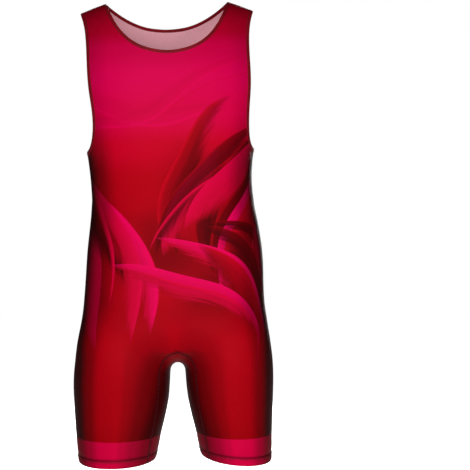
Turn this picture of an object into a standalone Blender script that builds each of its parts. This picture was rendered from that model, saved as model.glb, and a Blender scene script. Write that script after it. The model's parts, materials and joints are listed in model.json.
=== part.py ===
"""Wrestling singlet, filled out as if worn, with nobody in it.

Metres, +Z up. The origin lies between the shoulder straps at the height where the wearer's
shoulders carry them, and the front of the garment faces -Y. The tables below give the garment
hanging plumb and in millimetres. The last step leans it by LEAN, as it hangs.
"""

import bpy
import bmesh
import math
import numpy as np
from mathutils import Vector
from mathutils.kdtree import KDTree

MM = 0.001

# driving sizes, in millimetres
CLOTH = 1.3                # thickness of the knit wall
SEAM_GAP = 0.3             # between two pieces that are sewn together
LEAN = math.radians(1.15)  # how far the garment hangs out of plumb
BAND_TOP = -820.0          # seam between a leg and its band
HEM = -867.5               # lowest edge of the legs
HIP = -573.0               # above this the torso is one tube
SEAT_FOOT = -634.0         # the side seam's height where the row through the gusset's top ends
FORK = -700.0              # below this the legs are two tubes
TILT_START = -740.0        # the hems' tilt grows from here down
HEM_TIP = 5.0              # how much lower the hems are in front, and higher behind
ARMHOLE_FOOT = -284.5      # lowest point of the panels' armhole edge
CHEST_SEAM = -299.0        # seam across the back, which rises to the armholes' feet at its ends
SHOULDER_TOP = 30.0        # height of the shoulder line, carried on to the garment's middle
SHOULDER_FALL = 24.0       # how much lower the line is at SHOULDER_REACH from the middle
SHOULDER_REACH = 116.0
SHOULDER_SLOPE = 1.655     # power of the line, which falls more the further out it goes
SHOULDER_DROP = 170.0      # height in which the cloth rounds over from the shoulder to the chest
SHOULDER_ROUNDNESS = 2.35  # power of that curve, where 2 is an ellipse
NECK_BINDING_WIDTH = 6.5
ARMHOLE_BINDING_WIDTH = 8.0
BINDING_THICKNESS = 2.3
BINDING_GAP = 0.45         # a little wider than a seam, where the armhole's edge twists
FOLD_ROUNDING = 0.8        # of a binding's edges, where its cloth is folded
TORSO_SQUARENESS = 2.5     # power of the torso's rings, where 2 is an ellipse
CROTCH_ROUNDNESS = 3.9     # power of the curve down the middle from the hips to the crotch
FORK_SQUARENESS = 3.4      # the same where the torso turns into the legs
GUSSET_ANGLE = math.radians(40)  # from the innermost line of a leg to a gusset seam

# grid sizes
NECK_COLUMNS = 9           # in half of the neckline
STRAP_COLUMNS = 3
HALF_COLUMNS = NECK_COLUMNS + STRAP_COLUMNS
STRAP_ROWS = 16
TORSO_ROWS = 8
CENTRE_ROWS = 4
ARCH_ROWS = 4
LEG_ROWS = 5
GUSSET_COLUMNS = 6
CROWDING = 0.6             # how much an armhole's rows draw together at its ends, from 0 to 1
LAG = 0.5                  # how much lower rows draw together towards the chest seam
EDGE_POWER = 8             # how closely a shift of a row's end keeps to its last columns
INNER_SHARE = 0.7          # part of a row that moves where its inner end meets the gusset
FINE_STEPS = 400           # for measuring along the armhole's edge
SHARP_ANGLE = math.radians(50)
KNIT_ROUGHNESS = 0.5


class Table:
    """Rows of numbers under named columns, read along the first one with a smooth curve."""

    def __init__(self, columns, rows):
        self.columns = columns.split()
        rows = sorted(rows)
        self.key = np.array([row[0] for row in rows], float)
        self.values = np.array(rows, float)
        steps = np.diff(self.key)[:, None]
        slopes = np.diff(self.values, axis=0) / steps
        self.slope = np.empty_like(self.values)
        self.slope[1:-1] = (slopes[:-1] * steps[1:] + slopes[1:] * steps[:-1]) / (steps[1:] + steps[:-1])
        self.slope[0], self.slope[-1] = slopes[0], slopes[-1]

    def at(self, key, column):
        key = min(max(key, self.key[0]), self.key[-1])
        i = min(int(np.searchsorted(self.key, key, side="right")) - 1, len(self.key) - 2)
        j = self.columns.index(column)
        step = self.key[i + 1] - self.key[i]
        t = (key - self.key[i]) / step
        start, end = self.values[i, j], self.values[i + 1, j]
        a, b = self.slope[i, j] * step, self.slope[i + 1, j] * step
        return start + t * (a + t * (3 * (end - start) - 2 * a - b + t * (a + b - 2 * (end - start))))


# torso and outer leg lines, all heights above the hem
body = Table("height half middle front back", [
    (10, 176, 1.5, 92, 92),
    (-90, 179, 2.0, 104, 101),
    (-160, 177, 4.0, 111, 108),
    (-220, 169, 5.0, 115, 110),
    (-275, 159.8, 3.0, 114, 107),
    (-304, 155.6, 2.3, 111, 103),
    (-342, 153.3, 3.3, 107, 97),
    (-381, 155.3, 5.4, 103, 92),
    (-419, 161.2, 6.5, 101, 92),
    (-457, 167.0, 6.7, 102, 98),
    (-496, 170.0, 6.4, 105, 108),
    (-534, 171.3, 4.4, 108, 118),
    (-573, 174.0, 3.1, 110, 123),
    (-602, 178.6, 2.6, 112, 124),
    (-641, 185.8, 0.9, 114, 123),
    (-680, 190.7, 0.4, 111, 117),
    (-708, 193.0, -0.9, 107, 110),
    (-757, 191.9, -1.7, 101, 103),
    (-815, 189.2, -2.0, 94, 95),
    (-868, 185.9, -1.2, 87, 89),
])

# the gap between the legs, from the crotch down
gap = Table("height half middle", [
    (-700, 13.6, 7.6),
    (-718, 14.4, 7.3),
    (-757, 18.3, 7.4),
    (-786, 24.0, 6.9),
    (-815, 31.8, 6.3),
    (-854, 39.8, 5.4),
    (-868, 43.2, 5.0),
])

# half of the panels' armhole edge, from the strap's end at the shoulder to its foot at the side
armhole = Table("height half", [
    (-9, 157.0),
    (-31, 150.3),
    (-51, 147.2),
    (-88, 145.8),
    (-123, 146.6),
    (-160, 145.6),
    (-190, 141.8),
    (-217, 140.0),
    (-240, 140.6),
    (-257, 143.0),
    (-270, 146.8),
    (-280, 153.0),
    (ARMHOLE_FOOT, body.at(ARMHOLE_FOOT, "half")),
])

# half of each panel's neckline, from the middle out to the shoulder
frontNeck = Table("across height", [
    (0, -98),
    (36, -92.5),
    (64, -80.5),
    (89, -59),
    (104.5, -36.5),
    (115, -13),
    (122.8, 3.4),
])
backNeck = Table("across height", [
    (0, -46.5),
    (42, -42),
    (74, -30),
    (97, -16.5),
    (112, -5.5),
    (122.8, 3.4),
])

# the crotch, where the front, back and gusset meet in an arch
crotch = {
    "archTop": -683.5,      # height of the gusset between the legs
    "frontSeamTop": -655.0, # height of the gusset's tip at the front
    "backSeamTop": -652.0,
    "frontSeamOut": 92.0,   # depth of the same tip from the side seams' plane
    "backSeamOut": 103.0,
}

# a leg band's outer face, by the height above the hem's edge
hemShape = Table("rise bulge", [
    (0, 0.1),
    (1.2, 0.9),
    (6, 1.3),
    (12, 1.1),
    (15, 0.2),
    (16, -0.3),
    (17, 0.2),
    (20, 0.7),
    (34, 0.5),
    (47.2, 0.0),
])
hemRises = (0, 1.2, 6, 13, 16, 19, 30, BAND_TOP - SEAM_GAP / 2 - HEM)

# how much higher each hem is at its inner side
tilt = {"left": 3.0, "right": 15.0}


def smoothStep(t):
    t = min(max(t, 0.0), 1.0)
    return t * t * (3 - 2 * t)


def mix(a, b, t):
    return a + (b - a) * t


def squared(value, power):
    """A circle's sine or cosine, turned into that of a squarer ring."""
    return math.copysign(abs(value) ** (2 / power), value)


def depthAt(x, height, face):
    """How far the torso's ring lies from the side seams' plane, on the front or back face."""
    across = min(abs(x - body.at(height, "middle")) / body.at(height, "half"), 1.0)
    return body.at(height, face) * (1 - across ** TORSO_SQUARENESS) ** (1 / TORSO_SQUARENESS)


def shoulderHeight(x):
    """Height of the shoulder line above a point on the chest."""
    return SHOULDER_TOP - SHOULDER_FALL * (abs(x - body.at(0, "middle")) / SHOULDER_REACH) ** SHOULDER_SLOPE


def overShoulder(x, height, face):
    """Depth of the cloth between the shoulder line and the foot of the armholes."""
    drop = max(shoulderHeight(x) - height, 0.0)
    turn = 1 - min(drop / SHOULDER_DROP, 1.0)
    return depthAt(x, height, face) * (1 - turn ** SHOULDER_ROUNDNESS) ** (1 / SHOULDER_ROUNDNESS)


def facePoint(x, depth, height, face):
    """A point on the front or back face, never nearer to the other face than half a seam."""
    depth = max(depth, SEAM_GAP / 2)
    return Vector((x, -depth if face == "front" else depth, height))


def armholeHeights():
    """Heights of the rows at the armhole edge, spaced along it and closer at its two ends."""
    top = shoulderHeight(body.at(0, "middle") + armhole.at(0, "half"))
    heights = []
    points = []
    for i in range(FINE_STEPS + 1):
        height = mix(top, ARMHOLE_FOOT, 0.5 - 0.5 * math.cos(math.pi * i / FINE_STEPS))
        x = body.at(height, "middle") + armhole.at(height, "half")
        heights.append(height)
        points.append(facePoint(x, overShoulder(x, height, "front"), height, "front"))
    length = np.cumsum([0] + [(b - a).length for a, b in zip(points, points[1:])])
    parts = [i / STRAP_ROWS for i in range(STRAP_ROWS + 1)]
    stops = [length[-1] * mix(part, 0.5 - 0.5 * math.cos(math.pi * part), CROWDING) for part in parts]
    return [float(np.interp(stop, length, heights)) for stop in stops]


edgeHeights = armholeHeights()


def ringAngle(across, height):
    """Angle on the torso's ring, from its middle, of a point so far across."""
    share = min(across / body.at(height, "half"), 1.0)
    return math.asin(share ** (TORSO_SQUARENESS / 2))


edgeAngles = [ringAngle(armhole.at(height, "half"), height) for height in edgeHeights]


def chestSeamHeight(outer):
    """Height of the row at the chest seam, from 0 in the middle to 1 at the side seam."""
    return mix(CHEST_SEAM, ARMHOLE_FOOT, outer ** EDGE_POWER)


def upperGrid(face):
    """Straps and chest, or straps and shoulder blades, down to the foot of the armholes."""
    neck = frontNeck if face == "front" else backNeck
    rows = []
    for i, edge in enumerate(edgeHeights):
        row = []
        for column in range(-HALF_COLUMNS, HALF_COLUMNS + 1):
            side = -1 if column < 0 else 1
            count = abs(column)
            if count <= NECK_COLUMNS:
                across = neck.key[-1] * math.sin(math.pi / 2 * count / NECK_COLUMNS)
                top = neck.at(across, "height")
            else:
                part = (count - NECK_COLUMNS) / STRAP_COLUMNS
                across = mix(neck.key[-1], armhole.at(0, "half"), part)
                top = shoulderHeight(body.at(0, "middle") + across)
            outer = count / HALF_COLUMNS
            even = (i / STRAP_ROWS) ** (1 + LAG * min(count / NECK_COLUMNS, 1) ** (EDGE_POWER / 2))
            fall = (edgeHeights[0] - edge) / (edgeHeights[0] - edgeHeights[-1])
            height = mix(top, chestSeamHeight(outer), mix(even, fall, outer))
            settled = smoothStep(i / STRAP_ROWS)
            angle = mix(ringAngle(across, top), edgeAngles[i] * outer, settled)
            angle += (edgeAngles[i] - edgeAngles[0]) * (1 - settled) * outer ** EDGE_POWER
            reach = squared(math.sin(angle), TORSO_SQUARENESS)
            x = body.at(height, "middle") + side * body.at(height, "half") * reach
            depth = overShoulder(x, height, face)
            if i == 0 and count >= NECK_COLUMNS or i == STRAP_ROWS and count == HALF_COLUMNS:
                depth = 0
            row.append(facePoint(x, depth, height, face))
        rows.append(row)
    return rows


def torsoGrid(face):
    """From the foot of the armholes to the hips, one row for each height."""
    rows = []
    for i in range(TORSO_ROWS + 1):
        row = []
        for column in range(-HALF_COLUMNS, HALF_COLUMNS + 1):
            angle = math.pi / 2 * column / HALF_COLUMNS
            height = mix(chestSeamHeight(abs(column) / HALF_COLUMNS), HIP, i / TORSO_ROWS)
            reach = body.at(height, "half") * squared(math.sin(angle), TORSO_SQUARENESS)
            depth = body.at(height, face) * squared(math.cos(angle), TORSO_SQUARENESS)
            if abs(column) == HALF_COLUMNS:
                depth = 0
            row.append(facePoint(body.at(height, "middle") + reach, depth, height, face))
        rows.append(row)
    return rows


def legRing(height, side):
    """Middle and half width of a leg's ring."""
    sign = -1 if side == "left" else 1
    outer = body.at(height, "middle") + sign * body.at(height, "half")
    inner = gap.at(height, "middle") + sign * gap.at(height, "half")
    return (outer + inner) / 2, abs(outer - inner) / 2


def legPoint(height, side, angle, face, bulge=0.0):
    """A point on a leg, by its angle from the innermost line towards the face."""
    middle, half = legRing(height, side)
    sign = -1 if side == "left" else 1
    inward = math.cos(angle)
    x = middle - sign * (half + bulge) * inward
    depth = (body.at(height, face) + bulge) * math.sin(angle)
    if abs(math.pi - angle) < 1e-6:
        depth = SEAM_GAP / 2
    grown = smoothStep((TILT_START - height) / (TILT_START - HEM) / 2) * 2
    tipped = HEM_TIP * math.sin(angle) * (-1 if face == "front" else 1)
    lifted = height + grown * (tilt[side] * inward / 2 + tipped)
    return Vector((x, -depth if face == "front" else depth, lifted))


def seamAngle(height, side, inset):
    """Angle on a leg of a gusset seam's edge, drawn back from the seam by the inset."""
    return GUSSET_ANGLE + inset / legRing(height, side)[1]


def seamRows(face, inset):
    """Inner ends of each side's rows below the hips: down the middle, round the arch, down the leg."""
    top = crotch[face + "SeamTop"] + inset
    out = crotch[face + "SeamOut"]
    turned = {"left": [], "right": []}
    for i in range(CENTRE_ROWS + ARCH_ROWS + LEG_ROWS + 1):
        for side, sign in (("left", -1), ("right", 1)):
            foot = legPoint(FORK, side, seamAngle(FORK, side, inset), face)
            if i <= CENTRE_ROWS:
                height = mix(HIP, top, i / CENTRE_ROWS)
                fall = (HIP - height) / (HIP - crotch["archTop"])
                x = mix(body.at(HIP, "middle"), gap.at(FORK, "middle"), smoothStep(i / CENTRE_ROWS))
                depth = body.at(HIP, face) * math.sqrt(1 - fall ** CROTCH_ROUNDNESS)
                point = facePoint(x, out if i == CENTRE_ROWS else depth, height, face)
            elif i <= CENTRE_ROWS + ARCH_ROWS:
                angle = math.pi / 2 * (i - CENTRE_ROWS) / ARCH_ROWS
                x = mix(gap.at(FORK, "middle"), foot.x, math.sin(angle))
                height = mix(FORK, top, math.cos(angle))
                depth = mix(out, abs(foot.y), math.sin(angle))
                point = facePoint(x, depth, height, face)
            else:
                part = (i - CENTRE_ROWS - ARCH_ROWS) / LEG_ROWS
                height = mix(FORK, BAND_TOP + SEAM_GAP / 2, part)
                point = legPoint(height, side, seamAngle(height, side, inset), face)
            turned[side].append(point)
    return turned


def outerHeight(i):
    """Height of a row below the hips at the side seam."""
    if i <= CENTRE_ROWS:
        return mix(HIP, SEAT_FOOT, i / CENTRE_ROWS)
    if i <= CENTRE_ROWS + ARCH_ROWS:
        return mix(SEAT_FOOT, FORK, (i - CENTRE_ROWS) / ARCH_ROWS)
    return mix(FORK, BAND_TOP + SEAM_GAP / 2, (i - CENTRE_ROWS - ARCH_ROWS) / LEG_ROWS)


def hipGrid(face, side):
    """One leg's front or back with its half of the hips, from the side seam in to the gusset."""
    ends = seamRows(face, SEAM_GAP / 2)[side]
    sign = -1 if side == "left" else 1
    rows = []
    for i, end in enumerate(ends):
        height = outerHeight(i)
        blend = smoothStep((HIP - height) / (HIP - FORK))
        squareness = mix(TORSO_SQUARENESS, FORK_SQUARENESS, blend)
        row = []
        for column in range(HALF_COLUMNS + 1):
            part = column / HALF_COLUMNS
            angle = math.pi / 2 * part
            reach = body.at(height, "half") * squared(math.cos(angle), squareness)
            depth = body.at(height, face) * squared(math.sin(angle), squareness)
            torso = facePoint(body.at(height, "middle") + sign * reach, depth, height, face)
            turn = mix(math.pi, seamAngle(height, side, SEAM_GAP / 2), part)
            row.append(torso.lerp(legPoint(height, side, turn, face), blend))
        miss = end - row[-1]
        for k, point in enumerate(row):
            point += miss * smoothStep(1 + (k / HALF_COLUMNS - 1) / INNER_SHARE)
        row[0].y = -SEAM_GAP / 2 if face == "front" else SEAM_GAP / 2
        rows.append(row)
    return rows


def gussetGrid():
    """The strip from the left band through the crotch to the right band."""
    front, back = seamRows("front", -SEAM_GAP / 2), seamRows("back", -SEAM_GAP / 2)
    stations = []
    count = ARCH_ROWS + LEG_ROWS
    for step in range(-count, count + 1):
        side = "left" if step < 0 else "right"
        sign = -1 if step < 0 else 1
        i = abs(step)
        if i <= ARCH_ROWS:
            angle = math.pi / 2 * i / ARCH_ROWS
            x = gap.at(FORK, "middle") + sign * gap.at(FORK, "half") * math.sin(angle)
            inner = Vector((x, 0, mix(FORK, crotch["archTop"], math.cos(angle))))
        else:
            height = mix(FORK, BAND_TOP + SEAM_GAP / 2, (i - ARCH_ROWS) / LEG_ROWS)
            inner = legPoint(height, side, 0.0, "front")
            inner.y = 0
        station = []
        for column in range(GUSSET_COLUMNS + 1):
            turn = 2 * column / GUSSET_COLUMNS - 1
            seam = (front if turn < 0 else back)[side][CENTRE_ROWS + i]
            angle = abs(turn) * GUSSET_ANGLE
            out = math.sin(angle) / math.sin(GUSSET_ANGLE)
            away = (1 - math.cos(angle)) / (1 - math.cos(GUSSET_ANGLE))
            point = inner.lerp(seam, away)
            if i > ARCH_ROWS:
                level = (front[side][CENTRE_ROWS + i].z + back[side][CENTRE_ROWS + i].z) / 2
                point.z = mix(inner.z, level, away) + (seam.z - level) * out
            station.append(Vector((point.x, seam.y * out, point.z)))
        stations.append(station)
    return stations


def bandGrid(side, part):
    """Rows of a leg band from the hem up: its outer part, or the part across the gusset."""
    rows = []
    for rise in hemRises:
        height = HEM + rise
        bulge = hemShape.at(rise, "bulge")
        row = []
        if part == "outer":
            for column in range(-HALF_COLUMNS, HALF_COLUMNS + 1):
                angle = mix(math.pi, seamAngle(height, side, SEAM_GAP / 2), abs(column) / HALF_COLUMNS)
                point = legPoint(height, side, angle, "front" if column < 0 else "back", bulge)
                if column == 0:
                    point.y = 0
                row.append(point)
        else:
            for column in range(-GUSSET_COLUMNS // 2, GUSSET_COLUMNS // 2 + 1):
                angle = seamAngle(height, side, -SEAM_GAP / 2) * abs(column) / (GUSSET_COLUMNS // 2)
                row.append(legPoint(height, side, angle, "front" if column < 0 else "back", bulge))
        rows.append(row)
    return rows


def shifted(grid, row, rise):
    """The grid with one of its rows moved up."""
    moved = list(grid)
    moved[row] = [point + Vector((0, 0, rise)) for point in grid[row]]
    return moved


def leaned(point):
    """A table point in metres, with the garment's lean."""
    x, y, z = point * MM
    cosine, sine = math.cos(LEAN), math.sin(LEAN)
    return Vector((x * cosine - z * sine, y, z * cosine + x * sine))


def clear():
    for thing in list(bpy.data.objects):
        bpy.data.objects.remove(thing, do_unlink=True)


def material(name, colour):
    """A knit's plain look in an sRGB colour, as hex."""
    made = bpy.data.materials.new(name)
    made.use_nodes = True
    shader = made.node_tree.nodes["Principled BSDF"]
    parts = [int(colour[i:i + 2], 16) / 255 for i in (0, 2, 4)]
    linear = [c / 12.92 if c <= 0.04045 else ((c + 0.055) / 1.055) ** 2.4 for c in parts]
    shader.inputs["Base Color"].default_value = (*linear, 1)
    shader.inputs["Roughness"].default_value = KNIT_ROUGHNESS
    shader.inputs["Metallic"].default_value = 0.0
    return made


def outerSurface(grids):
    """One open surface from (grid, flipped) pairs, joined where they share points, normals out."""
    surface = bmesh.new()
    for grid, flipped in grids:
        rows = [[surface.verts.new(leaned(point)) for point in row] for row in grid]
        for upper, lower in zip(rows, rows[1:]):
            for k in range(len(upper) - 1):
                corners = [upper[k], lower[k], lower[k + 1], upper[k + 1]]
                surface.faces.new(reversed(corners) if flipped else corners)
    bmesh.ops.remove_doubles(surface, verts=surface.verts, dist=1e-6)
    surface.normal_update()
    return surface


def sewnNormals(surfaces):
    """Each surface's outward normals, shared where pieces meet so that their rims stay parallel."""
    edges = [v for surface in surfaces.values() for v in surface.verts if v.is_boundary]
    tree = KDTree(len(edges))
    for k, vertex in enumerate(edges):
        tree.insert(vertex.co, k)
    tree.balance()
    normals = {}
    for name, surface in surfaces.items():
        normals[name] = {}
        for vertex in surface.verts:
            normal = vertex.normal.copy()
            if vertex.is_boundary:
                near = tree.find_range(vertex.co, 2 * SEAM_GAP * MM)
                normal = sum((edges[k].normal for _, k, _ in near), Vector())
            normals[name][vertex] = normal.normalized()
    return normals


def addObject(name, solid, look):
    mesh = bpy.data.meshes.new(name)
    solid.to_mesh(mesh)
    solid.free()
    mesh.materials.append(look)
    mesh.shade_smooth()
    mesh.set_sharp_from_angle(angle=SHARP_ANGLE)
    thing = bpy.data.objects.new(name, mesh)
    bpy.context.scene.collection.objects.link(thing)
    return thing


def wall(name, surface, normals, look):
    """A closed cloth wall: the outer surface, the same surface moved in, and a rim between them."""
    solid = bmesh.new()
    outer = {v: solid.verts.new(v.co) for v in surface.verts}
    inner = {v: solid.verts.new(v.co - normals[v] * CLOTH * MM) for v in surface.verts}
    for face in surface.faces:
        solid.faces.new([outer[v] for v in face.verts])
        solid.faces.new([inner[v] for v in reversed(face.verts)])
        for loop in face.loops:
            if loop.edge.is_boundary:
                a, b = loop.vert, loop.link_loop_next.vert
                solid.faces.new([outer[b], outer[a], inner[a], inner[b]])
    return addObject(name, solid, look)


def binding(name, loop, normals, width, look):
    """A closed strip that carries the panels' surface on past their edge, a little thicker."""
    middle = -CLOTH / 2
    top, low = middle + BINDING_THICKNESS / 2, middle - BINDING_THICKNESS / 2
    start, end = BINDING_GAP, BINDING_GAP + width
    lip, fold = FOLD_ROUNDING / 2, FOLD_ROUNDING
    section = [(start, top - lip), (start + fold, top), (end - fold, top), (end, top - fold),
               (end, low + fold), (end - fold, low), (start + fold, low), (start, low + lip)]
    solid = bmesh.new()
    rings = []
    for k, point in enumerate(loop):
        along = (loop[(k + 1) % len(loop)] - loop[k - 1]).normalized()
        normal = (normals[k] - along * normals[k].dot(along)).normalized()
        out = normal.cross(along)
        rings.append([solid.verts.new(point + out * w * MM + normal * h * MM) for w, h in section])
    for ring, following in zip(rings, rings[1:] + rings[:1]):
        for k in range(len(section)):
            n = (k + 1) % len(section)
            solid.faces.new([ring[k], following[k], following[n], ring[n]])
    return addObject(name, solid, look)


def build():
    clear()
    looks = {
        "front_panel": material("crimson_knit_front", "A8001E"),
        "upper_back": material("crimson_knit_upper_back", "A0001C"),
        "lower_back": material("maroon_knit_lower_back", "4A0408"),
        "inner_leg_gusset": material("maroon_knit_gusset", "2C0408"),
    }
    for side in ("left", "right"):
        looks[side + "_leg_band"] = material(side + "_band_magenta", "D4003E")
        looks[side + "_inner_band"] = material(side + "_inner_band_magenta", "CC003A")

    upper = {face: upperGrid(face) for face in ("front", "back")}
    torso = {face: torsoGrid(face) for face in ("front", "back")}
    hips = {(face, side): hipGrid(face, side) for face in ("front", "back") for side in ("left", "right")}
    half = SEAM_GAP / 2
    cut = {
        "front_panel": [(upper["front"], False), (torso["front"], False),
                        (hips["front", "left"], False), (hips["front", "right"], True)],
        "upper_back": [(shifted(upper["back"], -1, half), True)],
        "lower_back": [(shifted(torso["back"], 0, -half), True),
                       (hips["back", "left"], True), (hips["back", "right"], False)],
        "inner_leg_gusset": [(gussetGrid(), True)],
    }
    for side in ("left", "right"):
        cut[side + "_leg_band"] = [(bandGrid(side, "outer"), side == "right")]
        cut[side + "_inner_band"] = [(bandGrid(side, "inner"), side == "left")]

    surfaces = {name: outerSurface(grids) for name, grids in cut.items()}
    normals = sewnNormals(surfaces)
    for name, surface in surfaces.items():
        wall(name, surface, normals[name], looks[name])

    def spot(point):
        return tuple(round(c, 6) for c in point)

    edge = {}
    for name in ("front_panel", "upper_back"):
        for vertex, normal in normals[name].items():
            edge[spot(vertex.co)] = normal

    def strip(name, loop, width, colour):
        points = [leaned(point) for point in loop]
        out = [edge[spot(point)] for point in points]
        binding(name, points, out, width, material(name + "_red", colour))

    first, last = HALF_COLUMNS - NECK_COLUMNS, HALF_COLUMNS + NECK_COLUMNS
    strip("neck_binding", upper["front"][0][first:last + 1] + upper["back"][0][last - 1:first:-1],
          NECK_BINDING_WIDTH, "8E0420")
    for side, column in (("left", 0), ("right", -1)):
        loop = [row[column] for row in upper["front"] + upper["back"][-2:0:-1]]
        loop = loop if side == "right" else loop[::-1]
        strip(side + "_armhole_binding", loop, ARMHOLE_BINDING_WIDTH, "86041E")
    for surface in surfaces.values():
        surface.free()


build()
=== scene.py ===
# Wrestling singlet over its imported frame: a printed stretch knit, filled out as if worn.
import bpy
import json
import math
import numpy as np
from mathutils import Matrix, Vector
from mathutils.bvhtree import BVHTree
from mathutils.kdtree import KDTree

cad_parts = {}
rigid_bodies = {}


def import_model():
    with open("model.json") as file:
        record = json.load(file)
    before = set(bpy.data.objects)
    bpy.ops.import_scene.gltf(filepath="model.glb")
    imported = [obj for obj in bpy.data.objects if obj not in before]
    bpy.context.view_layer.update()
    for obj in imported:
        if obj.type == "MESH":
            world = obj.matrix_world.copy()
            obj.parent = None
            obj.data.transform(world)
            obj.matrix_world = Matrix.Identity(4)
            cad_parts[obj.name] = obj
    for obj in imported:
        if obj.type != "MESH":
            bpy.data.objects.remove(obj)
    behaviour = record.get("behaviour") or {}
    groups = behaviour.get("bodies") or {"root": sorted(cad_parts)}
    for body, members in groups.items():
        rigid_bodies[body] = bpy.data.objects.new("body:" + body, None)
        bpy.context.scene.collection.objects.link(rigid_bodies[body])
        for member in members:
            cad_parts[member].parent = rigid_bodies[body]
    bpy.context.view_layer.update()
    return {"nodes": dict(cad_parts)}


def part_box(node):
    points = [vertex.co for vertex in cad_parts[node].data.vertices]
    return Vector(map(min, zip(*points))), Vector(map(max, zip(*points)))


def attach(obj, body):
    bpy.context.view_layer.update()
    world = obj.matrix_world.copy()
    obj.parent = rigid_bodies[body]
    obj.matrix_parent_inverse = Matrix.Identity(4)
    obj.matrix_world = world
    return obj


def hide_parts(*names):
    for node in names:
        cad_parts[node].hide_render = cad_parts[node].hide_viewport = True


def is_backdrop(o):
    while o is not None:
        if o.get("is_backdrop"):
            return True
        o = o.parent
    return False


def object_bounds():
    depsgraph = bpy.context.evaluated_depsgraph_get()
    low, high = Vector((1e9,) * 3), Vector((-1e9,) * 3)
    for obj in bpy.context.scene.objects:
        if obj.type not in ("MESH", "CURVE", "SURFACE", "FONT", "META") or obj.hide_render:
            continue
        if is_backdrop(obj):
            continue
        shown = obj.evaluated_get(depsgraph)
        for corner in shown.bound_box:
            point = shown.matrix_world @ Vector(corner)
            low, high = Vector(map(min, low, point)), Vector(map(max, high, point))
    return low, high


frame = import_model()


# small helpers

def linear(hexColour):
    parts = [int(hexColour[i:i + 2], 16) / 255 for i in (0, 2, 4)]
    return tuple(c / 12.92 if c <= 0.04045 else ((c + 0.055) / 1.055) ** 2.4 for c in parts)


def deselectAll():
    for thing in bpy.context.scene.objects:
        thing.select_set(False)


def makeActive(thing):
    deselectAll()
    thing.select_set(True)
    bpy.context.view_layer.objects.active = thing


def applyModifier(thing, kind, **settings):
    makeActive(thing)
    modifier = thing.modifiers.new(kind.title(), kind)
    for name, value in settings.items():
        setattr(modifier, name, value)
    bpy.ops.object.modifier_apply(modifier=modifier.name)


def asArray(mesh, what):
    values = np.empty(len(mesh.vertices) * 3)
    mesh.vertices.foreach_get(what, values)
    return values.reshape(-1, 3)


def smooth(t):
    t = np.clip(t, 0, 1)
    return t * t * (3 - 2 * t)


# camera at the photograph's angle, pale floor, soft studio light

studio = {
    "cameraAt": (0.0125, -3.2, -0.28),
    "lookAt": (0.1317, 0.0, -0.4384),
    "lens": 127.7,
    "floorHeight": -1.3, "floorSize": 14, "floorWhite": 1.0,
    "keyAt": (-0.7, -3.3, 0.35), "keySize": 2.2, "keyWatts": 76,
    "fillAt": (1.5, -3.0, -0.2), "fillSize": 1.8, "fillWatts": 39,
    "backAt": (0.5, 3.4, 0.1), "backSize": 2.4, "backWatts": 100,
    "skyStrength": 0.05, "backdropWhite": 1.0,
}


def addLight(name, place, aim, size, watts):
    lamp = bpy.data.lights.new(name, "AREA")
    lamp.shape = "DISK"
    lamp.size = size
    lamp.energy = watts
    thing = bpy.data.objects.new(name, lamp)
    thing.location = place
    thing.rotation_euler = (Vector(aim) - Vector(place)).to_track_quat("-Z", "Y").to_euler()
    bpy.context.scene.collection.objects.link(thing)


camera = bpy.data.objects.new("photoCamera", bpy.data.cameras.new("photoCamera"))
camera.data.lens = studio["lens"]
camera.data.sensor_width = 36
camera.location = studio["cameraAt"]
aim = Vector(studio["lookAt"]) - camera.location
camera.rotation_euler = aim.to_track_quat("-Z", "Y").to_euler()
bpy.context.scene.collection.objects.link(camera)
bpy.context.scene.camera = camera

addLight("softKey", studio["keyAt"], (0, 0, -0.42), studio["keySize"], studio["keyWatts"])
addLight("softFill", studio["fillAt"], (0, 0, -0.5), studio["fillSize"], studio["fillWatts"])
addLight("softBack", studio["backAt"], (0, 0, -0.45), studio["backSize"], studio["backWatts"])

deselectAll()
bpy.ops.mesh.primitive_grid_add(x_subdivisions=8, y_subdivisions=8, size=studio["floorSize"],
                                location=(0, 0, studio["floorHeight"]))
floor = bpy.context.active_object
floor.name = "studioFloor"
floor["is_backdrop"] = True
bpy.context.scene.view_settings.view_transform = "Standard"
print("studio ready")


# node graphs

def addNode(tree, kind, inputs=None, out=0, stops=None, **settings):
    # sets and links a new node and gives back one of its outputs; stops are a ramp's places, each
    # with a colour or a grey
    node = tree.nodes.new("ShaderNode" + kind)
    for name, value in settings.items():
        setattr(node, name, value)
    for key, value in (inputs or {}).items():
        if isinstance(value, bpy.types.NodeSocket):
            tree.links.new(value, node.inputs[key])
        else:
            node.inputs[key].default_value = value
    for k, (place, colour) in enumerate(stops or []):
        node.color_ramp.interpolation = "EASE"
        element = node.color_ramp.elements[k] if k < 2 else node.color_ramp.elements.new(place)
        element.position = place
        element.color = (*(linear(colour) if isinstance(colour, str) else [colour] * 3), 1)
    return node.outputs[out] if node.outputs else None


def newMaterial(name):
    made = bpy.data.materials.new(name)
    made.use_nodes = True
    made.node_tree.nodes.clear()
    return made, made.node_tree


# the backdrop is lit on its own, so it is white in the picture and dim as a light on the cloth
world = bpy.data.worlds.new("studioAir")
world.use_nodes = True
tree = world.node_tree
tree.nodes.clear()
seen = addNode(tree, "LightPath", out="Is Camera Ray")
strength = addNode(tree, "MapRange", {"Value": seen, "To Min": studio["skyStrength"],
                                      "To Max": studio["backdropWhite"]})
air = addNode(tree, "Background", {"Color": (1, 1, 1, 1), "Strength": strength})
addNode(tree, "OutputWorld", {"Surface": air})
bpy.context.scene.world = world

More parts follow.
